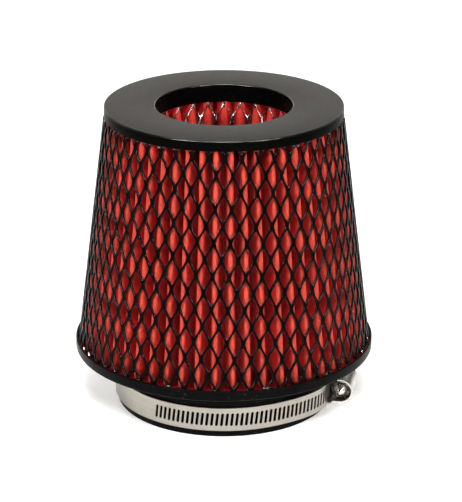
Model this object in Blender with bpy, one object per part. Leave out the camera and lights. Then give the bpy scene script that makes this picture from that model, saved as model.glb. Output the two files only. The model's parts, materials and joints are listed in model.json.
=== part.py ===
"""Open-cone air filter with an inverted inner cone and a worm-drive clamp on its rubber neck.

The filter stands on the end of its neck: the origin is the centre of the neck's lower face and
+Z runs up the filter's axis. Lengths are in millimetres and are turned into metres as points
are made. Angles are measured about +Z from +X, counter-clockwise seen from above.
"""
import math

import bmesh
import bpy
from mathutils import Matrix, Vector

MM = 0.001
TURN = 2.0 * math.pi
PART_GAP = 0.3

# Base flange, moulded in one piece with the neck
NECK_RADIUS = 54.2
NECK_BORE_RADIUS = 50.0
FLANGE_UNDERSIDE = 28.2
RIM_RADIUS = 75.0
LIP_INNER_RADIUS = 73.9
LIP_TOP = 33.65
CUP_FLOOR = 30.0
INNER_BEAD_RADIUS = 53.2

# Sealing compound that closes the pleat ends
BASE_SEAL_TOP = 32.7
PACK_BOTTOM = 33.0
PACK_TOP = 149.9
TOP_SEAL_TOP = 152.1

# Top cap
CAP_RADIUS = 59.0
CAP_TOP = 154.4
CAP_SKIRT_BOTTOM = 149.3
CAP_PLATE = 2.0
CAP_SKIRT_INNER_RADIUS = 57.6
CAP_HOLE_RADIUS = 33.75
CAP_COLLAR_OUTER_RADIUS = 35.25
CAP_COLLAR_BOTTOM = 144.9

# Outer cone: guard mesh, pleated media, support mesh
GUARD_BOTTOM_RADIUS = 73.4
GUARD_TOP_RADIUS = 59.3
GUARD_TOP = 149.0
GUARD_SHEET = 0.8
OUTER_PLEATS = 54
OUTER_PLEAT_DEPTH = 9.5
OUTER_FOLD_BOTTOM_RADIUS = 71.2
OUTER_FOLD_TOP_RADIUS = 57.2
SUPPORT_SHEET = 0.7
OUTER_SUPPORT_GAP = 0.4
INNER_SUPPORT_GAP = 1.0

# Inverted inner cone, open at the top and closed by a cup at the bottom
INNER_BOTTOM = 72.0
INNER_GUARD_TOP = 144.6
INNER_GUARD_BOTTOM_RADIUS = 20.2
INNER_GUARD_TOP_RADIUS = 34.5
INNER_PLEATS = 26
INNER_PLEAT_DEPTH = 6.6
INNER_FOLD_BOTTOM_RADIUS = 21.4
INNER_FOLD_TOP_RADIUS = 36.5
CUP_OUTER_RADIUS = 32.0
CUP_WALL_INNER_RADIUS = 31.2
CUP_BOTTOM = 67.7
CUP_INNER_FLOOR = 69.7
CUP_WALL_TOP = 75.4
CUP_BOSS_RADIUS = 18.0
CUP_BOSS_TOP = 71.7

# Pleated media: cotton gauze between two wire screens
MEDIA_THICKNESS = 1.6
FOLD_TIP_SHARE = 0.20

# Seam clips that crimp the two ends of each pleated sheet together
CLIP_SHEET = 0.5
CLIP_LEG = 2.6
CLIP_FOLD_SETBACK = 2.4
OUTER_CLIP_HALF_ANGLE = math.radians(2.8)
INNER_CLIP_HALF_ANGLE = math.radians(6.2)

# Worm-drive clamp: 12 mm band, right-hand worm
BAND_WIDTH = 12.0
BAND_SHEET = 0.7
BAND_CENTRE_HEIGHT = 9.75
BAND_INNER_RADIUS = 54.5
BAND_END_ANGLE = math.radians(208.0)
STRAP_LOW_INNER_RADIUS = 54.7
STRAP_HIGH_INNER_RADIUS = 55.5
STRAP_START_ANGLE = math.radians(-175.0)
STRAP_LEFT_RAMP = (math.radians(-134.0), math.radians(-128.0))
STRAP_RIGHT_RAMP = (math.radians(-60.0), math.radians(-30.0))
STRAP_END_ANGLE = math.radians(38.0)
SLOT_FIRST_ANGLE = math.radians(-127.5)
SLOT_LAST_ANGLE = math.radians(35.5)
SLOT_LENGTH = 6.8
SLOT_WIDTH = 1.25
SLOT_LEAN = math.radians(6.5)

HOUSING_ANGLE = math.radians(-11.0)
HOUSING_HALF_LENGTH = 9.6
HOUSING_ARCH_RADIUS = 6.35
HOUSING_SHEET = 0.65
HOUSING_SHOULDER = -3.6
HOUSING_FOOT = -6.6
HOUSING_FOOT_HALF_WIDTH = 7.25
SADDLE_HALF_ANGLE = math.radians(9.8)

SCREW_AXIS_RADIUS = 61.35
WORM_PITCH = 2.5
WORM_RADIUS = 5.4
WORM_ROOT_RADIUS = 4.5
WORM_CREST_WIDTH = 0.5
WORM_BASE_WIDTH = 1.3
WORM_HALF_LENGTH = 7.3
WORM_MESH_RADIUS = 56.1
SLOT_STEP = WORM_PITCH / WORM_MESH_RADIUS
SLOT_SHIFT = 1.0 / 3.0
TIP_RADIUS = 4.3
TIP_POINT_RADIUS = 0.8
TIP_START = -8.0
TIP_END = -11.0
SHANK_RADIUS = 3.25
COLLAR_RADIUS = 5.0
COLLAR_START = 9.9
COLLAR_END = 11.0
HEAD_ACROSS_FLATS = 7.94
HEAD_TOP = 15.5
HEAD_SLOT_WIDTH = 1.2
HEAD_SLOT_DEPTH = 1.6

RING_SEGMENTS = 56
SCREW_SEGMENTS = 18


def clear_scene():
    """Start from an empty scene."""
    for old_object in list(bpy.data.objects):
        bpy.data.objects.remove(old_object, do_unlink=True)
    for old_mesh in list(bpy.data.meshes):
        bpy.data.meshes.remove(old_mesh)
    for old_material in list(bpy.data.materials):
        bpy.data.materials.remove(old_material)


def make_material(name, colour, metallic, roughness):
    """A Principled material in one colour."""
    material = bpy.data.materials.new(name)
    material.use_nodes = True
    shader = material.node_tree.nodes["Principled BSDF"]
    shader.inputs["Base Color"].default_value = (*colour, 1.0)
    shader.inputs["Metallic"].default_value = metallic
    shader.inputs["Roughness"].default_value = roughness
    material.diffuse_color = (*colour, 1.0)
    return material


def make_pivot(name, location_mm, parent=None):
    """An empty on a joint's axis, which carries the pieces that move with the joint."""
    pivot = bpy.data.objects.new(name, None)
    pivot.empty_display_size = 0.02
    bpy.context.collection.objects.link(pivot)
    pivot.location = Vector(location_mm) * MM
    if parent is not None:
        pivot.parent = parent
        pivot.location -= parent.matrix_world.translation
    bpy.context.view_layer.update()
    return pivot


def finish_object(name, bm, material, parent=None):
    """Turn a mesh in world coordinates into a named object whose origin is its parent's."""
    bmesh.ops.recalc_face_normals(bm, faces=bm.faces)
    origin = parent.matrix_world.translation.copy() if parent else Vector()
    bmesh.ops.translate(bm, vec=-origin, verts=bm.verts)
    mesh = bpy.data.meshes.new(name)
    bm.to_mesh(mesh)
    bm.free()
    mesh.materials.append(material)
    mesh.shade_smooth()
    mesh.set_sharp_from_angle(angle=math.radians(35.0))
    piece = bpy.data.objects.new(name, mesh)
    bpy.context.collection.objects.link(piece)
    piece.parent = parent
    return piece


def polar(radius, angle, height):
    """A world point from cylindrical coordinates in millimetres."""
    return Vector((radius * math.cos(angle), radius * math.sin(angle), height)) * MM


def on_line(height, low, high):
    """The radius at a height on the straight line between two (height, radius) points."""
    share = (height - low[0]) / (high[0] - low[0])
    return low[1] + share * (high[1] - low[1])


def turned_body(profile, closed=True, segments=RING_SEGMENTS):
    """Spin a profile of (radius, height) points about the filter's axis."""
    bm = bmesh.new()
    points = [bm.verts.new(polar(radius, 0.0, height)) for radius, height in profile]
    edges = [bm.edges.new(pair) for pair in zip(points, points[1:])]
    if closed:
        edges.append(bm.edges.new((points[-1], points[0])))
    bmesh.ops.spin(
        bm, geom=points + edges, cent=(0.0, 0.0, 0.0), axis=(0.0, 0.0, 1.0),
        angle=TURN, steps=segments, use_merge=True, use_duplicate=False,
    )
    bmesh.ops.remove_doubles(bm, verts=bm.verts, dist=0.001 * MM)
    return bm


def base_flange_profile():
    """Section of the neck, the flange and the cup-shaped rim, from the bore's lower edge."""
    return [
        (50.8, 0.0), (53.5, 0.0), (NECK_RADIUS, 0.7),
        (NECK_RADIUS, 26.6), (55.0, 27.8), (56.6, FLANGE_UNDERSIDE),
        (74.2, FLANGE_UNDERSIDE), (RIM_RADIUS, 29.0), (RIM_RADIUS, 33.2),
        (74.6, LIP_TOP), (74.15, LIP_TOP), (LIP_INNER_RADIUS, 33.4),
        (LIP_INNER_RADIUS, CUP_FLOOR), (INNER_BEAD_RADIUS, CUP_FLOOR),
        (INNER_BEAD_RADIUS, 33.1), (52.7, 33.6), (50.6, 33.6), (NECK_BORE_RADIUS, 33.0),
        (NECK_BORE_RADIUS, 0.8),
    ]


def top_cap_profile():
    """Section of the cap: outer skirt, flat top, rounded collar that hangs into the hole."""
    plate_underside = CAP_TOP - CAP_PLATE
    collar_side = CAP_COLLAR_BOTTOM + 0.8
    collar_bend = CAP_COLLAR_BOTTOM + 0.25
    return [
        (CAP_RADIUS, CAP_SKIRT_BOTTOM), (CAP_RADIUS, 152.9), (58.6, 153.9), (57.6, CAP_TOP),
        (35.1, CAP_TOP), (34.15, 154.0), (CAP_HOLE_RADIUS, 153.1),
        (CAP_HOLE_RADIUS, collar_side), (34.0, collar_bend), (34.5, CAP_COLLAR_BOTTOM),
        (35.0, collar_bend), (CAP_COLLAR_OUTER_RADIUS, collar_side),
        (CAP_COLLAR_OUTER_RADIUS, plate_underside), (CAP_SKIRT_INNER_RADIUS, plate_underside),
        (CAP_SKIRT_INNER_RADIUS, 149.5), (57.8, CAP_SKIRT_BOTTOM),
    ]


def inner_cup_profile():
    """Section of the cup that closes the inner cone, from the axis below to the axis above."""
    return [
        (0.0, CUP_BOTTOM), (31.2, CUP_BOTTOM), (CUP_OUTER_RADIUS, 68.5),
        (CUP_OUTER_RADIUS, 75.1), (31.6, CUP_WALL_TOP), (CUP_WALL_INNER_RADIUS, 75.1),
        (CUP_WALL_INNER_RADIUS, CUP_INNER_FLOOR), (CUP_BOSS_RADIUS, CUP_INNER_FLOOR),
        (CUP_BOSS_RADIUS, 71.2), (17.5, CUP_BOSS_TOP), (0.0, CUP_BOSS_TOP),
    ]


def ring_profile(inner_radius, outer_radius, bottom, top):
    """A plain rectangular section."""
    return [(inner_radius, bottom), (outer_radius, bottom), (outer_radius, top), (inner_radius, top)]


def perforated_cone(radius_at, sheet, bottom, top, columns, rows, strand, rim):
    """A cone of sheet with staggered diamond holes, plain rims, and half holes at each rim.

    radius_at gives the outer radius at a height. Hole corners are named by compass point.
    """
    bm = bmesh.new()
    pitch = TURN / columns
    half_height = (top - bottom - 2.0 * rim) / (rows + 1)
    half_width = 0.5 * pitch * radius_at(0.5 * (bottom + top))
    shrink = 1.0 - 0.5 * strand * math.hypot(half_width, half_height) / (half_width * half_height)
    hole_angle = 0.5 * pitch * shrink
    hole_height = half_height * shrink
    last_row = rows + 1

    def through_points(angle, height):
        radius = radius_at(height)
        return (
            bm.verts.new(polar(radius, angle, height)),
            bm.verts.new(polar(radius - sheet, angle, height)),
        )

    def sheet_face(pairs):
        bm.faces.new([pair[0] for pair in pairs])
        bm.faces.new([pair[1] for pair in reversed(pairs)])

    def hole_walls(pairs):
        for first, second in zip(pairs, pairs[1:] + pairs[:1]):
            bm.faces.new((first[0], first[1], second[1], second[0]))

    holes = {}
    for row in range(last_row + 1):
        height = bottom + rim + row * half_height
        for column in range(columns):
            angle = pitch * (column + 0.5 * (row % 2))
            corners = {
                "east": through_points(angle + hole_angle, height),
                "west": through_points(angle - hole_angle, height),
            }
            if row < last_row:
                corners["north"] = through_points(angle, height + hole_height)
            if row > 0:
                corners["south"] = through_points(angle, height - hole_height)
            order = [name for name in ("east", "north", "west", "south") if name in corners]
            hole_walls([corners[name] for name in order])
            holes[row, column] = corners

    def hole(row, column):
        return holes[row, column % columns]

    def right_above(row, column):
        return hole(row + 1, column + row % 2)

    def left_above(row, column):
        return hole(row + 1, column + row % 2 - 1)

    for row in range(last_row):
        for column in range(columns):
            here = hole(row, column)
            right = right_above(row, column)
            left = left_above(row, column)
            sheet_face([here["east"], right["south"], right["west"], here["north"]])
            sheet_face([here["west"], here["north"], left["east"], left["south"]])
            if row > 0:
                below = hole(row - 1, column + row % 2)
                beside = hole(row, column + 1)
                sheet_face([below["north"], beside["west"], right["south"], here["east"]])

    for row, height in ((0, bottom), (last_row, top)):
        rim_points = []
        for column in range(columns):
            angle = pitch * (column + 0.5 * (row % 2))
            rim_points.append((through_points(angle - hole_angle, height),
                               through_points(angle + hole_angle, height)))
        for column in range(columns):
            here = hole(row, column)
            beside = hole(row, column + 1)
            rim_west, rim_east = rim_points[column]
            next_west = rim_points[(column + 1) % columns][0]
            if row == 0:
                peak = right_above(row, column)["south"]
                sheet_face([rim_west, rim_east, here["east"], here["west"]])
                sheet_face([rim_east, next_west, beside["west"], peak, here["east"]])
            else:
                peak = hole(row - 1, column + row % 2)["north"]
                sheet_face([here["west"], here["east"], rim_east, rim_west])
                sheet_face([here["east"], peak, beside["west"], next_west, rim_east])
            bm.faces.new((rim_west[0], rim_west[1], rim_east[1], rim_east[0]))
            bm.faces.new((rim_east[0], rim_east[1], next_west[1], next_west[0]))
    return bm


def pleated_ring(count, inner_at, outer_at, bottom, top, seam_angle, seam_faces_in):
    """A sheet folded into radial pleats round a cone and closed into a ring.

    The fold nearest seam_angle is shorter, where the sheet's two ends meet in a clip.
    """
    bm = bmesh.new()
    pitch = TURN / count
    tip = FOLD_TIP_SHARE * pitch
    seam_index = round(seam_angle / pitch - (0.5 if seam_faces_in else 0.0))
    rings = []
    for height in (bottom, top):
        faces_out = []
        faces_in = []
        for fold in range(count):
            centre = fold * pitch
            outer_radius = outer_at(height)
            inner_radius = inner_at(height)
            if fold == seam_index and seam_faces_in:
                inner_radius += CLIP_FOLD_SETBACK
            if fold == seam_index and not seam_faces_in:
                outer_radius -= CLIP_FOLD_SETBACK
            outer_half = 0.5 * MEDIA_THICKNESS / outer_radius
            inner_half = 0.5 * MEDIA_THICKNESS / inner_radius
            valley = centre + 0.5 * pitch
            for side in (-1.0, 1.0):
                spread = side * (tip + outer_half)
                faces_out.append(bm.verts.new(polar(outer_radius, centre + spread, height)))
                spread = side * (tip - outer_half)
                faces_in.append(
                    bm.verts.new(polar(outer_radius - MEDIA_THICKNESS, centre + spread, height))
                )
            for side in (-1.0, 1.0):
                spread = side * (tip - inner_half)
                faces_out.append(
                    bm.verts.new(polar(inner_radius + MEDIA_THICKNESS, valley + spread, height))
                )
                spread = side * (tip + inner_half)
                faces_in.append(bm.verts.new(polar(inner_radius, valley + spread, height)))
        rings.append((faces_out, faces_in))
    (low_out, low_in), (high_out, high_in) = rings
    total = len(low_out)
    for index in range(total):
        after = (index + 1) % total
        bm.faces.new((low_out[index], low_out[after], high_out[after], high_out[index]))
        bm.faces.new((low_in[after], low_in[index], high_in[index], high_in[after]))
        bm.faces.new((low_in[index], low_in[after], low_out[after], low_out[index]))
        bm.faces.new((high_out[index], high_out[after], high_in[after], high_in[index]))
    return bm


def seam_clip(count, fold_radius_at, opening_half_angle, bottom, top, seam_angle, seam_faces_in):
    """A U-shaped strip crimped over the short fold of a pleated ring."""
    bm = bmesh.new()
    pitch = TURN / count
    seam_index = round(seam_angle / pitch - (0.5 if seam_faces_in else 0.0))
    angle = (seam_index + (0.5 if seam_faces_in else 0.0)) * pitch
    radial = Vector((math.cos(angle), math.sin(angle), 0.0))
    across = Vector((-math.sin(angle), math.cos(angle), 0.0))
    toward_sheet = 1.0 if seam_faces_in else -1.0

    def section(half_opening):
        """Points as (reach towards the sheet, sideways)."""
        outer_half = half_opening + CLIP_SHEET
        return [
            (0.0, -outer_half), (CLIP_LEG, -outer_half), (CLIP_LEG, -half_opening),
            (CLIP_SHEET, -half_opening), (CLIP_SHEET, half_opening), (CLIP_LEG, half_opening),
            (CLIP_LEG, outer_half), (0.0, outer_half),
        ]

    loops = []
    for height in (bottom, top):
        fold_radius = fold_radius_at(height) + toward_sheet * CLIP_FOLD_SETBACK
        web_radius = fold_radius - toward_sheet * (PART_GAP + CLIP_SHEET)
        loop = []
        for reach, sideways in section(opening_half_angle * fold_radius):
            point = radial * (web_radius + toward_sheet * reach) + across * sideways
            loop.append(bm.verts.new((point + Vector((0.0, 0.0, height))) * MM))
        loops.append(loop)
    low, high = loops
    for index in range(len(low)):
        after = (index + 1) % len(low)
        bm.faces.new((low[index], low[after], high[after], high[index]))
    bm.faces.new(reversed(low))
    bm.faces.new(high)
    return bm


def curved_plate(start_angle, end_angle, inner_radius, steps):
    """A length of plain clamp band."""
    bm = bmesh.new()
    low = BAND_CENTRE_HEIGHT - 0.5 * BAND_WIDTH
    high = BAND_CENTRE_HEIGHT + 0.5 * BAND_WIDTH
    outer_radius = inner_radius + BAND_SHEET
    stations = []
    for step in range(steps + 1):
        angle = start_angle + (end_angle - start_angle) * step / steps
        corners = ((inner_radius, low), (outer_radius, low), (outer_radius, high), (inner_radius, high))
        stations.append([bm.verts.new(polar(radius, angle, height)) for radius, height in corners])
    for station, following in zip(stations, stations[1:]):
        for corner in range(4):
            after = (corner + 1) % 4
            bm.faces.new((station[corner], station[after], following[after], following[corner]))
    bm.faces.new(reversed(stations[0]))
    bm.faces.new(stations[-1])
    return bm


def smooth_share(value, start, end):
    """A smooth rise from 0 at start to 1 at end."""
    share = min(1.0, max(0.0, (value - start) / (end - start)))
    return share * share * (3.0 - 2.0 * share)


def strap_inner_radius(angle):
    """The strap lies low on the neck, and rises over the fixed band and through the housing."""
    on_band = 1.0 - smooth_share(angle, *STRAP_LEFT_RAMP)
    in_housing = smooth_share(angle, *STRAP_RIGHT_RAMP)
    rise = STRAP_HIGH_INNER_RADIUS - STRAP_LOW_INNER_RADIUS
    return STRAP_LOW_INNER_RADIUS + rise * max(on_band, in_housing)


def slot_angle(slot):
    """The angle of a slot; slot 0 lies a part of a step short of the housing's middle."""
    return HOUSING_ANGLE + (slot - SLOT_SHIFT) * SLOT_STEP


def strap_stations():
    """(angle, leaning, opens a slot) for each line across the strap, from start to tail."""
    plain_steps = 12
    slot_half_angle = 0.5 * SLOT_WIDTH / WORM_MESH_RADIUS
    first_slot = math.ceil((SLOT_FIRST_ANGLE - HOUSING_ANGLE) / SLOT_STEP + SLOT_SHIFT)
    last_slot = math.floor((SLOT_LAST_ANGLE - HOUSING_ANGLE) / SLOT_STEP + SLOT_SHIFT)
    plain_end = slot_angle(first_slot - 1)
    stations = []
    for step in range(plain_steps + 1):
        angle = STRAP_START_ANGLE + (plain_end - STRAP_START_ANGLE) * step / plain_steps
        stations.append((angle, False, False))
    for slot in range(first_slot, last_slot + 1):
        centre = slot_angle(slot)
        stations.append((centre - slot_half_angle, True, True))
        stations.append((centre + slot_half_angle, True, False))
    stations.append((STRAP_END_ANGLE, False, False))
    return stations


def slotted_strap():
    """The band's free end, with the leaning slots that the worm drives."""
    bm = bmesh.new()
    heights = [
        BAND_CENTRE_HEIGHT - 0.5 * BAND_WIDTH,
        BAND_CENTRE_HEIGHT - 0.5 * SLOT_LENGTH,
        BAND_CENTRE_HEIGHT + 0.5 * SLOT_LENGTH,
        BAND_CENTRE_HEIGHT + 0.5 * BAND_WIDTH,
    ]
    stations = strap_stations()
    grid = []
    for angle, leaning, _ in stations:
        inner_radius = strap_inner_radius(angle)
        line = []
        for height in heights:
            lean = (height - BAND_CENTRE_HEIGHT) * math.tan(SLOT_LEAN) / inner_radius
            point_angle = angle + (lean if leaning else 0.0)
            line.append((
                bm.verts.new(polar(inner_radius + BAND_SHEET, point_angle, height)),
                bm.verts.new(polar(inner_radius, point_angle, height)),
            ))
        grid.append(line)

    def strip(first, second):
        """Join two through-thickness edges with one face."""
        bm.faces.new((first[0], first[1], second[1], second[0]))

    for (line, following), (_, _, slot_here) in zip(zip(grid, grid[1:]), stations):
        strip(line[0], following[0])
        strip(following[3], line[3])
        for row in range(3):
            if slot_here and row == 1:
                strip(line[1], line[2])
                strip(line[2], following[2])
                strip(following[2], following[1])
                strip(following[1], line[1])
                continue
            corners = (line[row], following[row], following[row + 1], line[row + 1])
            bm.faces.new([corner[0] for corner in corners])
            bm.faces.new([corner[1] for corner in reversed(corners)])
    for line in (grid[0], grid[-1]):
        for row in range(3):
            strip(line[row], line[row + 1])
    return bm


def screw_frame():
    """World placement of the screw: local +Z towards its head, local +X away from the neck."""
    outward = Vector((math.cos(HOUSING_ANGLE), math.sin(HOUSING_ANGLE), 0.0))
    towards_head = Vector((-math.sin(HOUSING_ANGLE), math.cos(HOUSING_ANGLE), 0.0))
    third = towards_head.cross(outward)
    rotation = Matrix((outward, third, towards_head)).transposed().to_4x4()
    centre = outward * SCREW_AXIS_RADIUS + Vector((0.0, 0.0, BAND_CENTRE_HEIGHT))
    return Matrix.Translation(centre * MM) @ rotation


def worm_radius(axial, angle):
    """The worm's surface radius: a right-hand ridge whose crest faces the neck at axial 0."""
    offset = (axial - WORM_PITCH * (angle - math.pi) / TURN) % WORM_PITCH
    distance = min(offset, WORM_PITCH - offset)
    flank = (distance - 0.5 * WORM_CREST_WIDTH) / (0.5 * (WORM_BASE_WIDTH - WORM_CREST_WIDTH))
    return WORM_RADIUS - (WORM_RADIUS - WORM_ROOT_RADIUS) * min(1.0, max(0.0, flank))


def hexagon_radius(angle):
    """Distance from the axis to the hexagonal head's side."""
    sixth = TURN / 6.0
    return 0.5 * HEAD_ACROSS_FLATS / math.cos((angle % sixth) - 0.5 * sixth)


def screw_body():
    """The worm screw: pointed tip, shank, threaded worm, collar and hexagonal head."""
    bm = bmesh.new()
    points = {}

    def point(radius, angle, axial):
        """A vertex on the screw, made once for each place."""
        place = Vector((radius * math.cos(angle), radius * math.sin(angle), axial))
        key = (round(place.x, 4), round(place.y, 4), round(place.z, 4))
        if key not in points:
            points[key] = bm.verts.new(place * MM)
        return points[key]

    def face(corners):
        """A face, left out where its corners fall together."""
        unique = [corner for index, corner in enumerate(corners) if corner != corners[index - 1]]
        if len(unique) > 2:
            bm.faces.new(unique)

    angles = [TURN * step / SCREW_SEGMENTS for step in range(SCREW_SEGMENTS)]

    def circle(radius_at, axial):
        return [point(radius_at(angle), angle, axial) for angle in angles]

    def bridge(lower, upper):
        for index in range(SCREW_SEGMENTS):
            after = (index + 1) % SCREW_SEGMENTS
            face((lower[index], lower[after], upper[after], upper[index]))

    half_base = 0.5 * WORM_BASE_WIDTH
    half_crest = 0.5 * WORM_CREST_WIDTH
    row_offsets = (-half_base, -half_crest, half_crest, half_base)
    turns = math.ceil(WORM_HALF_LENGTH / WORM_PITCH) + 1
    rows = [turn * WORM_PITCH + offset for turn in range(-turns, turns + 1) for offset in row_offsets]

    def worm_point(row, step):
        """The point where a thread row crosses an angle, held between the worm's ends."""
        angle = angles[step % SCREW_SEGMENTS]
        axial = rows[row] + WORM_PITCH * (TURN * step / SCREW_SEGMENTS - math.pi) / TURN
        axial = min(WORM_HALF_LENGTH, max(-WORM_HALF_LENGTH, axial))
        return point(worm_radius(axial, angle), angle, axial)

    for row in range(len(rows) - 1):
        for step in range(SCREW_SEGMENTS):
            face((worm_point(row, step), worm_point(row, step + 1),
                  worm_point(row + 1, step + 1), worm_point(row + 1, step)))

    worm_low = circle(lambda angle: worm_radius(-WORM_HALF_LENGTH, angle), -WORM_HALF_LENGTH)
    worm_high = circle(lambda angle: worm_radius(WORM_HALF_LENGTH, angle), WORM_HALF_LENGTH)

    tip_side = [worm_low] + [
        circle(lambda angle, radius=radius: radius, axial)
        for radius, axial in ((TIP_RADIUS, -WORM_HALF_LENGTH), (TIP_RADIUS, TIP_START),
                              (TIP_POINT_RADIUS, TIP_END))
    ]
    for upper, lower in zip(tip_side, tip_side[1:]):
        bridge(lower, upper)
    bm.faces.new(tip_side[-1])

    head_side = [worm_high] + [
        circle(lambda angle, radius=radius: radius, axial)
        for radius, axial in ((SHANK_RADIUS, WORM_HALF_LENGTH), (SHANK_RADIUS, COLLAR_START),
                              (COLLAR_RADIUS, COLLAR_START), (COLLAR_RADIUS, COLLAR_END))
    ]
    head_side.append(circle(hexagon_radius, COLLAR_END))
    head_side.append(circle(hexagon_radius, HEAD_TOP - 0.7))
    head_side.append(circle(lambda angle: 3.6, HEAD_TOP))
    for lower, upper in zip(head_side, head_side[1:]):
        bridge(lower, upper)
    bm.faces.new(head_side[-1])
    bmesh.ops.recalc_face_normals(bm, faces=bm.faces)
    return bm


def cut_head_slot(screw):
    """Cut the screwdriver slot across the head."""
    bm = bmesh.new()
    bmesh.ops.create_cube(bm, size=1.0)
    size = Vector((12.0, HEAD_SLOT_WIDTH, 2.0 * HEAD_SLOT_DEPTH)) * MM
    bmesh.ops.scale(bm, vec=size, verts=bm.verts)
    bmesh.ops.translate(bm, vec=Vector((0.0, 0.0, HEAD_TOP * MM)), verts=bm.verts)
    mesh = bpy.data.meshes.new("head_slot_cutter")
    bm.to_mesh(mesh)
    bm.free()
    cutter = bpy.data.objects.new("head_slot_cutter", mesh)
    bpy.context.collection.objects.link(cutter)
    cutter.parent = screw
    cutter.hide_render = True
    cutter.display_type = "WIRE"
    cut = screw.modifiers.new("head_slot", "BOOLEAN")
    cut.operation = "DIFFERENCE"
    cut.solver = "EXACT"
    cut.object = cutter


def housing_section():
    """The housing's section as (outward, up) points about the screw's axis."""
    inner_arch = HOUSING_ARCH_RADIUS - HOUSING_SHEET
    inner_foot = HOUSING_FOOT_HALF_WIDTH - 0.85 * HOUSING_SHEET
    arc_steps = 10

    def path(arch_radius, shoulder, foot_half_width):
        points = [(HOUSING_FOOT, -foot_half_width), (shoulder, -foot_half_width), (shoulder, -arch_radius)]
        for step in range(arc_steps + 1):
            angle = -0.5 * math.pi + math.pi * step / arc_steps
            points.append((arch_radius * math.cos(angle), arch_radius * math.sin(angle)))
        points += [(shoulder, arch_radius), (shoulder, foot_half_width), (HOUSING_FOOT, foot_half_width)]
        return points

    outer = path(HOUSING_ARCH_RADIUS, HOUSING_SHOULDER, HOUSING_FOOT_HALF_WIDTH)
    inner = path(inner_arch, HOUSING_SHOULDER - HOUSING_SHEET, inner_foot)
    return outer + inner[::-1]


def housing_body():
    """The stamped arch over the worm, with feet that fold down past the band's edges."""
    bm = bmesh.new()
    frame = screw_frame()
    section = []
    for outward, upward in housing_section():
        local = Vector((outward, -upward, -HOUSING_HALF_LENGTH)) * MM
        section.append(bm.verts.new(frame @ local))
    face = bm.faces.new(section)
    pushed = bmesh.ops.extrude_face_region(bm, geom=[face])
    moved = [item for item in pushed["geom"] if isinstance(item, bmesh.types.BMVert)]
    along = frame.to_3x3() @ Vector((0.0, 0.0, 2.0 * HOUSING_HALF_LENGTH * MM))
    bmesh.ops.translate(bm, vec=along, verts=moved)
    return bm


def guard_radius(height):
    return on_line(height, (33.6, GUARD_BOTTOM_RADIUS), (GUARD_TOP, GUARD_TOP_RADIUS))


def outer_fold_radius(height):
    return on_line(height, (LIP_TOP, OUTER_FOLD_BOTTOM_RADIUS), (CAP_SKIRT_BOTTOM, OUTER_FOLD_TOP_RADIUS))


def outer_valley_radius(height):
    return outer_fold_radius(height) - OUTER_PLEAT_DEPTH


def outer_support_radius(height):
    return outer_valley_radius(height) - OUTER_SUPPORT_GAP


def inner_guard_radius(height):
    return on_line(height, (INNER_BOTTOM, INNER_GUARD_BOTTOM_RADIUS),
                   (INNER_GUARD_TOP, INNER_GUARD_TOP_RADIUS))


def inner_fold_radius(height):
    return on_line(height, (INNER_BOTTOM, INNER_FOLD_BOTTOM_RADIUS), (PACK_TOP, INNER_FOLD_TOP_RADIUS))


def inner_valley_radius(height):
    return inner_fold_radius(height) + INNER_PLEAT_DEPTH


def inner_support_radius(height):
    return inner_valley_radius(height) + INNER_SUPPORT_GAP + SUPPORT_SHEET


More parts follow.
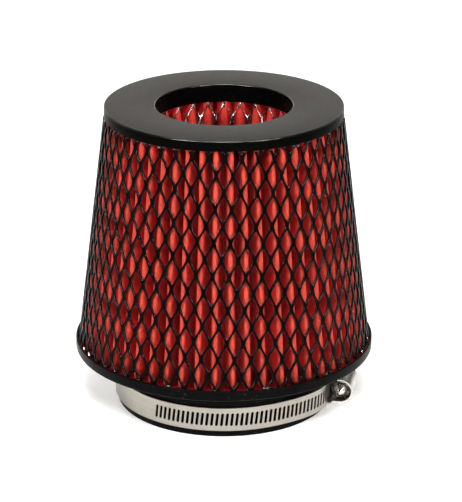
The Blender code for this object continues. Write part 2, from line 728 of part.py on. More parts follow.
def build_filter():
    """The parts that are moulded and bonded together."""
    black = (0.012, 0.012, 0.012)
    red = (0.42, 0.012, 0.015)
    steel = (0.55, 0.54, 0.52)
    seal = (0.02, 0.02, 0.022)
    back = 0.5 * math.pi
    finish_object("base_flange", turned_body(base_flange_profile()),
                  make_material("base_flange_rubber", black, 0.0, 0.45))
    finish_object("top_cap", turned_body(top_cap_profile()),
                  make_material("top_cap_moulding", black, 0.0, 0.45))
    finish_object("inner_cone_cup", turned_body(inner_cup_profile(), closed=False, segments=40),
                  make_material("inner_cone_cup_moulding", black, 0.0, 0.5))
    finish_object(
        "base_potting",
        turned_body(ring_profile(INNER_BEAD_RADIUS + PART_GAP, LIP_INNER_RADIUS - PART_GAP,
                                 CUP_FLOOR + PART_GAP, BASE_SEAL_TOP)),
        make_material("base_potting_seal", seal, 0.0, 0.6))
    finish_object(
        "top_potting",
        turned_body(ring_profile(CAP_COLLAR_OUTER_RADIUS + PART_GAP, CAP_SKIRT_INNER_RADIUS - PART_GAP,
                                 PACK_TOP + PART_GAP, TOP_SEAL_TOP)),
        make_material("top_potting_seal", seal, 0.0, 0.6))
    finish_object(
        "inner_cup_potting",
        turned_body(ring_profile(CUP_BOSS_RADIUS + PART_GAP, CUP_WALL_INNER_RADIUS - PART_GAP,
                                 CUP_INNER_FLOOR + PART_GAP, CUP_BOSS_TOP), segments=40),
        make_material("inner_cup_potting_seal", seal, 0.0, 0.6))

    finish_object(
        "outer_guard_mesh",
        perforated_cone(guard_radius, GUARD_SHEET, PACK_BOTTOM, GUARD_TOP,
                        columns=26, rows=6, strand=2.2, rim=1.2),
        make_material("outer_guard_coating", black, 0.3, 0.35))
    finish_object(
        "outer_media",
        pleated_ring(OUTER_PLEATS, outer_valley_radius, outer_fold_radius, PACK_BOTTOM, PACK_TOP,
                     back, seam_faces_in=True),
        make_material("outer_media_cotton", red, 0.0, 0.8))
    finish_object(
        "outer_media_seam_clip",
        seam_clip(OUTER_PLEATS, outer_valley_radius, OUTER_CLIP_HALF_ANGLE, PACK_BOTTOM, PACK_TOP,
                  back, seam_faces_in=True),
        make_material("outer_media_seam_clip_steel", steel, 1.0, 0.4))
    finish_object(
        "outer_support_mesh",
        perforated_cone(outer_support_radius, SUPPORT_SHEET, PACK_BOTTOM, PACK_TOP,
                        columns=14, rows=3, strand=8.0, rim=1.6),
        make_material("outer_support_steel", steel, 1.0, 0.4))

    finish_object(
        "inner_guard_mesh",
        perforated_cone(inner_guard_radius, SUPPORT_SHEET, INNER_BOTTOM, INNER_GUARD_TOP,
                        columns=13, rows=4, strand=1.4, rim=1.2),
        make_material("inner_guard_steel", steel, 1.0, 0.3))
    finish_object(
        "inner_media",
        pleated_ring(INNER_PLEATS, inner_fold_radius, inner_valley_radius, INNER_BOTTOM, PACK_TOP,
                     back, seam_faces_in=False),
        make_material("inner_media_cotton", red, 0.0, 0.8))
    finish_object(
        "inner_media_seam_clip",
        seam_clip(INNER_PLEATS, inner_valley_radius, INNER_CLIP_HALF_ANGLE, INNER_BOTTOM, PACK_TOP,
                  back, seam_faces_in=False),
        make_material("inner_media_seam_clip_steel", steel, 1.0, 0.4))
    finish_object(
        "inner_support_mesh",
        perforated_cone(inner_support_radius, SUPPORT_SHEET, INNER_BOTTOM, PACK_TOP,
                        columns=16, rows=2, strand=3.0, rim=1.6),
        make_material("inner_support_steel", steel, 1.0, 0.4))


def build_clamp():
    """The worm-drive clamp: what is fixed to its band, the strap that slides, and the screw."""
    stainless = (0.60, 0.58, 0.54)
    zinc = (0.52, 0.50, 0.46)
    clamp_pivot = make_pivot("clamp_pivot", (0.0, 0.0, BAND_CENTRE_HEIGHT))
    strap_pivot = make_pivot("strap_pivot", (0.0, 0.0, BAND_CENTRE_HEIGHT), clamp_pivot)
    saddle_end = HOUSING_ANGLE + SADDLE_HALF_ANGLE
    end_gap = PART_GAP / BAND_INNER_RADIUS
    finish_object("clamp_band", curved_plate(saddle_end + end_gap, BAND_END_ANGLE, BAND_INNER_RADIUS, 36),
                  make_material("clamp_band_steel", stainless, 1.0, 0.3), clamp_pivot)
    finish_object("clamp_saddle",
                  curved_plate(HOUSING_ANGLE - SADDLE_HALF_ANGLE, saddle_end, BAND_INNER_RADIUS, 6),
                  make_material("clamp_saddle_steel", stainless, 1.0, 0.35), clamp_pivot)
    finish_object("clamp_housing", housing_body(),
                  make_material("clamp_housing_steel", stainless, 1.0, 0.35), clamp_pivot)
    finish_object("clamp_strap", slotted_strap(),
                  make_material("clamp_strap_steel", stainless, 1.0, 0.3), strap_pivot)
    screw = finish_object("clamp_screw", screw_body(),
                          make_material("clamp_screw_steel", zinc, 1.0, 0.3))
    screw.parent = clamp_pivot
    screw.matrix_parent_inverse = clamp_pivot.matrix_world.inverted()
    turned_to_slots = Matrix.Rotation(SLOT_SHIFT * TURN, 4, "Z")
    screw.matrix_world = screw_frame() @ turned_to_slots
    cut_head_slot(screw)


clear_scene()
build_filter()
build_clamp()
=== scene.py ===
import json
import math

import bmesh
import bpy
import numpy as np
from mathutils import Matrix, Vector


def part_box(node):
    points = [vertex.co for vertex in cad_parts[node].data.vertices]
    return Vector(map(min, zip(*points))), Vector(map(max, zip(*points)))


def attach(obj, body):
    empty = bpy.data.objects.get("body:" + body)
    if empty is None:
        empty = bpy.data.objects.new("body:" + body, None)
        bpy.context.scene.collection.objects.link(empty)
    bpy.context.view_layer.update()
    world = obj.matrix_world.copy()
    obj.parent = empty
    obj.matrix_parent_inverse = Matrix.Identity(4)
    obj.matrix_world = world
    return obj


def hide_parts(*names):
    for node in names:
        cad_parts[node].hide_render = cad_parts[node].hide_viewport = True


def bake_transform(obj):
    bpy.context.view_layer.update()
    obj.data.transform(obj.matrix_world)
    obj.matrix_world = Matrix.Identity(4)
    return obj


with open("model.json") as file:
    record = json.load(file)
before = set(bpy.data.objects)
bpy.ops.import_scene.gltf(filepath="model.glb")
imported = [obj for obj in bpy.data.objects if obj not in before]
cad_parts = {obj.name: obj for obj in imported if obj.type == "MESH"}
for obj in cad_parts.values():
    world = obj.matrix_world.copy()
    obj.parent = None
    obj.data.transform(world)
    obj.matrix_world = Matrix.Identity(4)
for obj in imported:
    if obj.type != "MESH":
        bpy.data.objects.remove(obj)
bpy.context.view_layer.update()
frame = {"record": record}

MM = 0.001
TURN = 2.0 * math.pi

# Mouldings, in millimetres; their outer radii and tops are read from the frame
CAP_SKIRT_DEPTH = 5.1
SKIRT_INNER_RADIUS = 57.6
CAP_PLATE = 2.0
CAP_HOLE_RADIUS = 33.75
COLLAR_OUTER_RADIUS = 35.25
NECK_RADIUS = 54.2
NECK_BORE_RADIUS = 50.0
FLANGE_UNDERSIDE = 28.2
FLANGE_FLOOR = 30.0
LIP_INNER_RADIUS = 73.9
INNER_BEAD_RADIUS = 53.2
INNER_BEAD_TOP = 33.6
CUP_WALL_INNER_RADIUS = 31.2
CUP_INNER_FLOOR = 69.7
CUP_BOSS_RADIUS = 18.0
CUP_BOSS_TOP = 71.7
CUP_UNDERSIDE_BEVEL = 4.0

# Expanded metal: one opening of the flat sheet, before it is rolled into a cone
CELL_WIDTH = 8.0 * MM
CELL_HEIGHT = 16.4 * MM
HOLE_HALF_WIDTH = 3.05 * MM
HOLE_HALF_HEIGHT = 6.15 * MM
HOLE_ROUNDING = 1.5
HOLE_STEPS = 5
STRAND_BEVEL = 0.16 * MM
OUTER_GUARD_SHEET = 1.0 * MM
OUTER_GUARD_LEAN = math.radians(2.1)
INNER_GUARD_SHEET = 0.7 * MM
INNER_HOLE_SHARE = (1.13, 1.09)

# Where two strands of the outer guard cross: sideways, and down the slope from its top edge
OUTER_GUARD_CROSSING = (3.7 * MM, 27.7 * MM)

# Pleats, with the roundings of a fold's outer and inner tip
OUTER_PLEATS = 54
OUTER_TIP_RADII = (1.45 * MM, 0.9 * MM)
OUTER_SEAM_FOLD = 26.5
INNER_PLEATS = 26
INNER_TIP_RADII = (1.2 * MM, 1.5 * MM)
INNER_SEAM_FOLD = 6.0
PLEAT_ROWS = 14
MEDIA_SHEET = 0.7 * MM
SEAM_SETBACK = 2.4 * MM
THREAD_SPACING = 0.62 * MM

# Clamp strip; angles are measured about +Z from +X
BAND_WIDTH = 12.0 * MM
BAND_SHEET = 0.7 * MM
BAND_INNER_RADIUS = 54.5 * MM
BAND_OUTER_RADIUS = 55.4 * MM
STRAP_INNER_RADIUS = 54.7 * MM
STRAP_RISE_OVER_SADDLE = 0.8 * MM
STRAP_STAND_OFF = 1.3 * MM
SLOT_LENGTH = 6.8 * MM
SLOT_WIDTH = 1.35 * MM
SLOT_LEAN = math.radians(6.5)
SLOT_FIRST_ANGLE = math.radians(-127.5)
SLOT_LAST_ANGLE = math.radians(35.5)
SADDLE_HALF_ANGLE = math.radians(9.8)

# Clamp housing, measured from the screw's axis
HOUSING_HALF_LENGTH = 9.6 * MM
HOUSING_ARCH_RADIUS = 6.35 * MM
HOUSING_SHEET = 0.85 * MM
HOUSING_SHOULDER = -3.6 * MM
HOUSING_FOOT = -6.6 * MM
HOUSING_FOOT_HALF_WIDTH = 7.25 * MM

# Screw, in millimetres; stations are (place along the axis towards the head, radius)
WORM_PITCH = 2.5
WORM_HALF_LENGTH = 7.3
WORM_RADIUS = 5.4
WORM_ROOT_RADIUS = 4.5
SCREW_TIP = ((-11.0, 0.5), (-10.9, 0.8), (-8.2, 3.25), (-8.0, 3.35), (-7.3, 3.35))
SCREW_COLLAR = ((7.3, 3.25), (9.9, 3.25), (9.9, 4.8), (10.1, 5.0), (10.9, 5.0), (11.0, 4.9))
HEAD_ACROSS_FLATS = 7.94
HEAD_START = 10.9
HEAD_SLOT_FLOOR = 13.9
HEAD_SLOT_HALF_WIDTH = 0.6
HEAD_TOP = 15.5

# The slots' spacing as an angle about the neck, and how much of it they are off the housing's middle
WORM_MESH_RADIUS = 56.1
SLOT_STEP = WORM_PITCH / WORM_MESH_RADIUS
SLOT_SHIFT = 1.0 / 3.0

# Light and camera
SOFTBOX_TINT = (1.0, 0.972, 0.935)
BACK_WALL_TINT = (1.0, 0.945, 0.88)
FLOOR_TINT = (0.98, 1.0, 1.0)
FLOOR_HALF_WIDTH = 6.0
WORLD_STRENGTH = 0.28
CAMERA_ELEVATION = math.radians(20.8)
CAMERA_DISTANCE = 1.2298
CAMERA_AIM = Vector((0.0, 0.0, 0.0773))
CAMERA_LENS = 175.8
CAMERA_SHIFT = 0.014


def end_radii(node):
    """(height, least radius, greatest radius) at the CAD node's bottom, then at its top."""
    points = np.array([vertex.co[:] for vertex in bpy.data.objects[node].data.vertices])
    radii = np.hypot(points[:, 0], points[:, 1])
    ends = []
    for height in (points[:, 2].min(), points[:, 2].max()):
        level = np.abs(points[:, 2] - height) < 0.05 * MM
        ends.append((float(height), float(radii[level].min()), float(radii[level].max())))
    return ends


def polar(radius, angle, height):
    """A point from cylinder coordinates about the filter's axis."""
    return (radius * math.cos(angle), radius * math.sin(angle), height)


def smooth_share(value, start, end):
    """0 before start, 1 after end and a smooth step between them."""
    share = min(1.0, max(0.0, (value - start) / (end - start)))
    return share * share * (3.0 - 2.0 * share)


def object_of(name, mesh, materials, sharp):
    """A named object from a mesh, smooth but for edges of more than the given angle in degrees."""
    for material in materials:
        mesh.materials.append(material)
    mesh.shade_smooth()
    mesh.set_sharp_from_angle(angle=math.radians(sharp))
    piece = bpy.data.objects.new(name, mesh)
    bpy.context.collection.objects.link(piece)
    return piece


def mesh_piece(name, points, faces, materials, sharp=35.0):
    """A named object from points in metres and faces."""
    mesh = bpy.data.meshes.new(name)
    mesh.from_pydata(points, [], faces)
    mesh.update()
    return object_of(name, mesh, materials, sharp)


def outward_piece(name, points, faces, materials):
    """A named object whose faces are all turned outwards."""
    piece = mesh_piece(name, points, faces, materials, 40.0)
    bm = bmesh.new()
    bm.from_mesh(piece.data)
    bmesh.ops.recalc_face_normals(bm, faces=bm.faces)
    bm.to_mesh(piece.data)
    bm.free()
    return piece


def add_uvs(piece, face_uvs):
    """Give the piece a UV map from one (u, v) pair for each corner of each face."""
    layer = piece.data.uv_layers.new(name="UVMap")
    layer.data.foreach_set("uv", np.array(face_uvs, dtype=np.float32).ravel())


def round_edges(piece, width, segments):
    """Round the piece's sharp edges."""
    edge = piece.modifiers.new("edge", "BEVEL")
    edge.width = width
    edge.segments = segments
    edge.limit_method = "ANGLE"
    edge.angle_limit = math.radians(50.0)


def ride_for(piece, body, node):
    """Let the piece ride on a body in place of a CAD node."""
    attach(piece, body)
    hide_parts(node)


def set_material(node, material):
    """Give a CAD node a finished material."""
    for item in bpy.data.objects[node].material_slots:
        item.material = material


# ---- materials


class NodeTree:
    """Short ways to add nodes to a material or a world."""

    def __init__(self, owner):
        owner.use_nodes = True
        self.nodes = owner.node_tree.nodes
        self.link = owner.node_tree.links.new

    def coords(self, kind):
        """Texture coordinates of one kind, such as Object or UV."""
        return self.nodes.new("ShaderNodeTexCoord").outputs[kind]

    def split(self, vector):
        """The vector's parts, as outputs named X, Y and Z."""
        node = self.nodes.new("ShaderNodeSeparateXYZ")
        self.link(vector, node.inputs[0])
        return node.outputs

    def noise(self, source, scale, detail=4.0, roughness=0.55, stretch=None):
        """Noise on coordinates in metres, scaled in cycles per metre and optionally stretched."""
        if stretch:
            mapping = self.nodes.new("ShaderNodeMapping")
            mapping.inputs["Scale"].default_value = stretch
            self.link(source, mapping.inputs["Vector"])
            source = mapping.outputs["Vector"]
        texture = self.nodes.new("ShaderNodeTexNoise")
        texture.inputs["Scale"].default_value = scale
        texture.inputs["Detail"].default_value = detail
        texture.inputs["Roughness"].default_value = roughness
        self.link(source, texture.inputs["Vector"])
        return texture.outputs["Fac"]

    def ramp(self, factor, stops):
        """A colour ramp; stops are (position, colour) with linear RGB colours or greys."""
        node = self.nodes.new("ShaderNodeValToRGB")
        elements = node.color_ramp.elements
        while len(elements) < len(stops):
            elements.new(0.5)
        for element, (position, colour) in zip(elements, stops):
            element.position = position
            rgb = (colour, colour, colour) if isinstance(colour, float) else colour
            element.color = (*rgb, 1.0)
        self.link(factor, node.inputs["Fac"])
        return node.outputs["Color"]

    def math(self, operation, *values):
        """A sum of numbers and outputs, such as ADD or MULTIPLY."""
        node = self.nodes.new("ShaderNodeMath")
        node.operation = operation
        for socket, value in zip(node.inputs, values):
            if isinstance(value, float):
                socket.default_value = value
            else:
                self.link(value, socket)
        return node.outputs["Value"]

    def weighted(self, first, first_weight, second, second_weight):
        """Two outputs added together by weight."""
        return self.math("ADD", self.math("MULTIPLY", first, first_weight),
                         self.math("MULTIPLY", second, second_weight))

    def mix(self, factor, first, second):
        """The first colour where the factor is 0, the second where it is 1."""
        node = self.nodes.new("ShaderNodeMix")
        node.data_type = "RGBA"
        for socket, value in ((node.inputs[0], factor), (node.inputs[6], first), (node.inputs[7], second)):
            if isinstance(value, tuple):
                socket.default_value = (*value, 1.0)
            else:
                self.link(value, socket)
        return node.outputs[2]

    def bump(self, height, distance, strength, normal=None):
        """A bumped normal, on top of another one if that is given."""
        node = self.nodes.new("ShaderNodeBump")
        node.inputs["Strength"].default_value = strength
        node.inputs["Distance"].default_value = distance
        self.link(height, node.inputs["Height"])
        if normal is not None:
            self.link(normal, node.inputs["Normal"])
        return node.outputs["Normal"]


class Finish(NodeTree):
    """A new material whose Principled shader takes outputs for its varying sockets."""

    def __init__(self, name):
        self.material = bpy.data.materials.new(name)
        super().__init__(self.material)
        self.sockets = self.nodes["Principled BSDF"].inputs

    def vary(self, socket, output):
        """Drive one of the shader's sockets with a node's output."""
        self.link(output, self.sockets[socket])

    def keep(self, socket, value):
        """Set a socket that is the same all over the surface."""
        self.sockets[socket].default_value = value


def moulded_black(name, grey, roughness, specular, dust=0.5, tint=(1.0, 1.0, 1.0)):
    """Moulded polyurethane of a tinted grey: fine grain, faint mottling and specks of pale dust."""
    finish = Finish(name)
    place = finish.coords("Object")
    grain = finish.noise(place, 1500.0, 4.0, 0.7)
    mottle = finish.noise(place, 45.0, 5.0)
    specks = finish.noise(place, 1150.0, 1.0)
    dark = tuple(grey * 0.75 * channel for channel in tint)
    pale = tuple(grey * 1.3 * channel for channel in tint)
    base = finish.ramp(mottle, [(0.3, dark), (0.7, pale)])
    dusty = finish.ramp(specks, [(0.70, 0.0), (0.78, dust)])
    finish.vary("Base Color", finish.mix(dusty, base, (0.16, 0.155, 0.15)))
    finish.vary("Roughness", finish.ramp(grain, [(0.3, roughness - 0.06), (0.7, roughness + 0.08)]))
    finish.keep("Specular IOR Level", specular)
    fine = finish.bump(grain, 0.10 * MM, 0.55)
    finish.vary("Normal", finish.bump(mottle, 0.25 * MM, 0.25, fine))
    return finish.material


def coated_mesh(name, low, high, specular):
    """Gloss black coating on expanded metal, chipped to bright metal near its cut ends."""
    low_reach = 2.2 * MM
    high_reach = 1.6 * MM
    fade = 2.0 * MM
    finish = Finish(name)
    place = finish.coords("Object")
    height = finish.split(place)["Z"]
    near_low = finish.math("SUBTRACT", low + low_reach, height)
    near_high = finish.math("SUBTRACT", height, high - high_reach)
    near_cut = finish.math("MULTIPLY", finish.math("MAXIMUM", near_low, near_high), 1.0 / fade)
    chips = finish.noise(place, 260.0, 4.0, 0.6)
    worn = finish.math("ADD", finish.math("MULTIPLY", near_cut, 0.16), chips)
    worn = finish.ramp(worn, [(0.72, 0.0), (0.75, 1.0)])
    peel = finish.noise(place, 900.0, 2.0)
    tone = finish.noise(place, 120.0, 4.0)
    paint = finish.ramp(tone, [(0.35, (0.0007, 0.0006, 0.0006)), (0.7, (0.0018, 0.0016, 0.0015))])
    finish.vary("Base Color", finish.mix(worn, paint, (0.62, 0.60, 0.57)))
    finish.vary("Metallic", worn)
    finish.vary("Roughness", finish.ramp(tone, [(0.3, 0.16), (0.75, 0.32)]))
    finish.keep("Specular IOR Level", specular)
    finish.vary("Normal", finish.bump(peel, 0.06 * MM, 0.5))
    return finish.material


def bare_steel(name, tint, roughness, stain_share=0.72):
    """Rolled steel: rolling streaks, and stains that keep only that share of the tint."""
    finish = Finish(name)
    place = finish.coords("Object")
    streaks = finish.noise(place, 700.0, 4.0, 0.6, (1.0, 1.0, 0.08))
    stains = finish.noise(place, 90.0, 5.0)
    dark = tuple(channel * stain_share for channel in tint)
    finish.vary("Base Color", finish.ramp(stains, [(0.3, dark), (0.62, tint)]))
    finish.keep("Metallic", 1.0)
    finish.vary("Roughness", finish.ramp(streaks, [(0.3, roughness - 0.08), (0.7, roughness + 0.12)]))
    finish.vary("Normal", finish.bump(streaks, 0.05 * MM, 0.35))
    return finish.material


def band_steel():
    """Stainless strip: fine brushing along the band, on UVs in metres, with soft scuffs."""
    finish = Finish("clamp_band_stainless")
    along = finish.coords("UV")
    place = finish.coords("Object")
    brushed = finish.noise(along, 900.0, 5.0, 0.65, (0.03, 6.0, 1.0))
    coarse = finish.noise(along, 160.0, 3.0, 0.5, (0.08, 4.0, 1.0))
    scuffs = finish.noise(place, 55.0, 5.0)
    tone = finish.weighted(coarse, 0.5, scuffs, 0.5)
    finish.vary("Base Color",
                finish.ramp(tone, [(0.35, (0.285, 0.267, 0.235)), (0.62, (0.37, 0.348, 0.31))]))
    finish.keep("Metallic", 1.0)
    finish.vary("Roughness", finish.ramp(brushed, [(0.3, 0.27), (0.7, 0.43)]))
    finish.vary("Normal", finish.bump(brushed, 0.03 * MM, 0.4))
    return finish.material


def worm_steel(along):
    """Plated screw: bright on its pointed end, and nearly black from the worm back, a painted shade for the
    inside of the housing.
    """
    finish = Finish("clamp_screw_plating")
    place = finish.coords("Object")
    axial = finish.nodes.new("ShaderNodeVectorMath")
    axial.operation = "DOT_PRODUCT"
    axial.inputs[1].default_value = along
    finish.link(place, axial.inputs[0])
    smear = finish.noise(place, 500.0, 4.0)
    past_tip = finish.math("ADD", axial.outputs["Value"], (WORM_HALF_LENGTH + 0.3) * MM)
    past_tip = finish.math("MULTIPLY", past_tip, 1.0 / MM)
    # Painted shade: past the tip the plating turns nearly black, standing in for the shade inside the
    # housing.
    worm_shade = finish.ramp(finish.math("ADD", past_tip, smear), [(0.45, 0.0), (0.75, 1.0)])
    bright = finish.ramp(smear, [(0.3, (0.55, 0.52, 0.47)), (0.7, (0.74, 0.71, 0.66))])
    finish.vary("Base Color", finish.mix(worm_shade, bright, (0.035, 0.032, 0.028)))
    finish.keep("Metallic", 1.0)
    finish.vary("Roughness", finish.ramp(smear, [(0.3, 0.20), (0.7, 0.34)]))
    finish.vary("Normal", finish.bump(smear, 0.05 * MM, 0.3))
    return finish.material


def gauze(name, valley_shade, tip_highlight):
    """Oiled red cotton gauze: plain weave on UVs in metres, uneven oil, slubs and lint.

    The second argument is how far the colour deepens in a fold's valley, a painted shade, and the third how
    far it pales on its tip, a painted highlight.
    """
    finish = Finish(name)
    along = finish.coords("UV")
    place = finish.coords("Object")
    across_sheet = finish.split(along)
    waves = TURN / THREAD_SPACING
    warp = finish.math("SINE", finish.math("MULTIPLY", across_sheet["X"], waves))
    weft = finish.math("SINE", finish.math("MULTIPLY", across_sheet["Y"], waves))
    weave = finish.math("MULTIPLY", warp, weft)
    slubs = finish.noise(along, 500.0, 3.0, 0.6, (1.0, 0.25, 1.0))
    oil = finish.noise(place, 60.0, 5.0, 0.6)
    cloth = finish.math("ADD", weave, finish.math("MULTIPLY", slubs, 2.2))
    tone = finish.weighted(oil, 0.7, slubs, 0.3)
    red = finish.ramp(tone, [(0.32, (0.31, 0.0022, 0.004)), (0.52, (0.42, 0.0035, 0.0055)),
                             (0.72, (0.52, 0.005, 0.0065))])
    tip = finish.nodes.new("ShaderNodeAttribute")
    tip.attribute_name = "fold_tip"
    # Painted highlight: the tips of the folds pale towards a light pink.
    tip_light = finish.math("ADD", tip.outputs["Fac"], finish.math("MULTIPLY", weave, 0.03))
    tip_light = finish.ramp(tip_light, [(0.72, 0.0), (0.98, tip_highlight)])
    # Painted shade: the valleys between the folds deepen towards a dark red.
    valley_dark = finish.ramp(tip.outputs["Fac"], [(0.0, valley_shade), (0.6, 0.0)])
    red = finish.mix(valley_dark, red, (0.10, 0.0008, 0.0015))
    red = finish.mix(tip_light, red, (0.68, 0.105, 0.06))
    lint = finish.ramp(finish.noise(place, 1300.0, 2.0), [(0.38, 0.36), (0.62, 0.0)])
    finish.vary("Base Color", finish.mix(lint, red, (0.12, 0.001, 0.002)))
    finish.vary("Roughness", finish.ramp(oil, [(0.35, 0.62), (0.7, 0.85)]))
    finish.keep("Sheen Weight", 0.10)
    finish.keep("Sheen Roughness", 0.4)
    finish.keep("Sheen Tint", (1.0, 0.55, 0.5, 1.0))
    finish.keep("Specular IOR Level", 0.15)
    finish.vary("Normal", finish.bump(cloth, 0.12 * MM, 0.6))
    return finish.material


# ---- expanded metal


def opening_outline():
    """One opening's outline, in shares of its half width and half height."""
    quarter = []
    for step in range(HOLE_STEPS + 1):
        up = step / HOLE_STEPS
        quarter.append((1.0 - up ** HOLE_ROUNDING, up))
    outline = []
    for x_sign, y_sign, backwards in ((1, 1, False), (-1, 1, True), (-1, -1, False), (1, -1, True)):
        run = quarter[::-1] if backwards else quarter
        outline += [(x_sign * x, y_sign * y) for x, y in run[:-1]]
    return outline


def opening_centres(near, far, half_sector, corner, across, upward):
    """Centres of the openings on a flat sector and just past its edges, by (row, column)."""
    centres = {}
    rows = int(2.6 * far / CELL_HEIGHT)
    columns = int(2.0 * far * half_sector / CELL_WIDTH)
    for row in range(-rows, rows + 1):
        for column in range(-columns, columns + 1):
            centre = (corner + upward * (0.5 * CELL_HEIGHT * row)
                      + across * (CELL_WIDTH * (column + 0.5 * (row % 2))))
            distance = centre.length
            angle = abs(math.atan2(centre.x, -centre.y))
            in_reach = near - 1.2 * CELL_HEIGHT < distance < far + 1.2 * CELL_HEIGHT
            if in_reach and angle * distance <= half_sector * distance + 2.5 * CELL_WIDTH:
                centres[row, column] = centre
    return centres


def opening_points(centre, across, upward, hole_share, sheet):
    """Four rings of points through one opening, wider on the bevels."""
    half_width = HOLE_HALF_WIDTH * hole_share[0]
    half_height = HOLE_HALF_HEIGHT * hole_share[1]
    tip_stretch = 1.6
    levels = ((STRAND_BEVEL, 0.0), (0.0, STRAND_BEVEL), (0.0, sheet - STRAND_BEVEL), (STRAND_BEVEL, sheet))
    outline = opening_outline()
    points = []
    for grow, depth in levels:
        for x_share, y_share in outline:
            spot = (centre + across * (x_share * (half_width + grow))
                    + upward * (y_share * (half_height + grow * tip_stretch)))
            points.append((spot.x, spot.y, -depth))
    return points


def sheet_faces(starts):
    """Faces of the flat sheet, from each opening's first point, and which are outer bevels."""
    count = 4 * HOLE_STEPS
    east, north, west, south = 0, HOLE_STEPS, 2 * HOLE_STEPS, 3 * HOLE_STEPS
    faces = []
    bevel_faces = []

    def both_sides(ring):
        """A face on the outer side and its twin on the inner side."""
        faces.append(ring)
        faces.append([index + 3 * count for index in reversed(ring)])

    for (row, column), start in starts.items():
        for level in range(3):
            if level == 0:
                bevel_faces += range(len(faces), len(faces) + count)
            for index in range(count):
                after = (index + 1) % count
                low = start + level * count
                faces.append([low + after, low + index, low + count + index, low + count + after])
        right = starts.get((row + 1, column + row % 2))
        left = starts.get((row + 1, column + row % 2 - 1))
        beside = starts.get((row, column + 1))
        below = starts.get((row - 1, column + row % 2))
        if right is not None:
            for step in range(HOLE_STEPS):
                both_sides([start + east + step, right + south - step, right + south - step - 1,
                            start + east + step + 1])
        if left is not None:
            for step in range(HOLE_STEPS):
                both_sides([start + north + step, left + (east - step) % count,
                            left + (east - step - 1) % count, start + north + step + 1])
        if None not in (right, beside, below):
            both_sides([below + north, beside + west, right + south, start + east])
    return faces, bevel_faces


def expanded_sheet(name, cone, origin_angle, materials, sheet, crossing=(0.0, 0.0), lean=0.0,
                   hole_share=(1.0, 1.0), facing=1.0):
    """Expanded metal cut as a flat sector, then rolled into a cone.

    cone is the ((height, radius), (height, radius)) of the face that is seen; facing is 1 when
    that face looks away from the axis and -1 when it looks at it. The flat sector has the cone's
    apex at its origin. crossing is where two strands cross, sideways and down the slope from the
    top edge. materials are for the strands, their cut ends and their bevels.
    """
    (low_height, low_radius), (high_height, high_radius) = cone
    slant = math.hypot(high_height - low_height, high_radius - low_radius)
    apex_sine = abs(high_radius - low_radius) / slant
    apex_cosine = math.sqrt(1.0 - apex_sine * apex_sine)
    near = min(low_radius, high_radius) / apex_sine
    far = max(low_radius, high_radius) / apex_sine
    half_sector = math.pi * apex_sine
    if high_radius < low_radius:
        outward_rise = -1.0
        top_edge = near
        apex_height = high_height + high_radius * apex_cosine / apex_sine
    else:
        outward_rise = 1.0
        top_edge = far
        apex_height = low_height - low_radius * apex_cosine / apex_sine

    across = Vector((math.cos(lean), -math.sin(lean)))
    upward = Vector((math.sin(lean), math.cos(lean)))
    corner = Vector((crossing[0], outward_rise * crossing[1] - top_edge)) - across * (0.5 * CELL_WIDTH)
    points = []
    starts = {}
    for cell, centre in opening_centres(near, far, half_sector, corner, across, upward).items():
        starts[cell] = len(points)
        points += opening_points(centre, across, upward, hole_share, sheet)
    faces, bevel_faces = sheet_faces(starts)
    mesh = bpy.data.meshes.new(name)
    mesh.from_pydata(points, [], faces)
    for index in bevel_faces:
        mesh.polygons[index].material_index = 2

    bm = bmesh.new()
    bm.from_mesh(mesh)
    for side in (-1.0, 1.0):
        edge = half_sector * side
        normal = Vector((side * math.cos(edge), side * math.sin(edge), 0.0))
        cut_and_close(bm, Vector((0.0, 0.0, 0.0)), normal)
    for vertex in bm.verts:
        x, y, z = vertex.co
        distance = math.hypot(x, y)
        angle = math.atan2(x, -y) / apex_sine
        radius = distance * apex_sine + facing * z * apex_cosine
        height = (apex_height + outward_rise * distance * apex_cosine
                  - outward_rise * facing * z * apex_sine)
        vertex.co = polar(radius, origin_angle + facing * angle, height)
    cut_and_close(bm, Vector((0.0, 0.0, low_height)), Vector((0.0, 0.0, -1.0)))
    cut_and_close(bm, Vector((0.0, 0.0, high_height)), Vector((0.0, 0.0, 1.0)))
    bmesh.ops.recalc_face_normals(bm, faces=bm.faces)
    bm.to_mesh(mesh)
    bm.free()
    return object_of(name, mesh, materials, 50.0)


def cut_and_close(bm, place, normal):
    """Cut away what lies beyond a plane and close the strands' ends as bare metal."""
    cut = bmesh.ops.bisect_plane(
        bm, geom=list(bm.verts) + list(bm.edges) + list(bm.faces), dist=1e-7,
        plane_co=place, plane_no=normal, clear_outer=True, clear_inner=False)
    edges = [item for item in cut["geom_cut"] if isinstance(item, bmesh.types.BMEdge)]
    closed = bmesh.ops.holes_fill(bm, edges=edges, sides=0)
    for face in closed["faces"]:
        face.material_index = 1


# ---- pleated media


def fold_path(tip_radii, pitch, outer_radius, inner_radius):
    """One fold from valley to valley, as (angle, radius) pairs about the middle of its outer tip."""
    arc_steps = 4
    flank_steps = 3
    arc_turn = 0.5 * math.pi * 0.94
    outer_tip, inner_tip = tip_radii
    half = []
    inner = []
    for step in range(arc_steps + 1):
        turn = arc_turn * step / arc_steps
        half.append((outer_tip * math.sin(turn) / outer_radius,
                     outer_radius - outer_tip * (1.0 - math.cos(turn))))
        inner.append((0.5 * pitch - inner_tip * math.sin(turn) / inner_radius,
                      inner_radius + inner_tip * (1.0 - math.cos(turn))))
    start = half[-1]
    end = inner[-1]
    for step in range(1, flank_steps):
        share = step / flank_steps
        half.append((start[0] + (end[0] - start[0]) * share, start[1] + (end[1] - start[1]) * share))
    half += inner[::-1]
    return [(-angle, radius) for angle, radius in half[:0:-1]] + half[:-1]


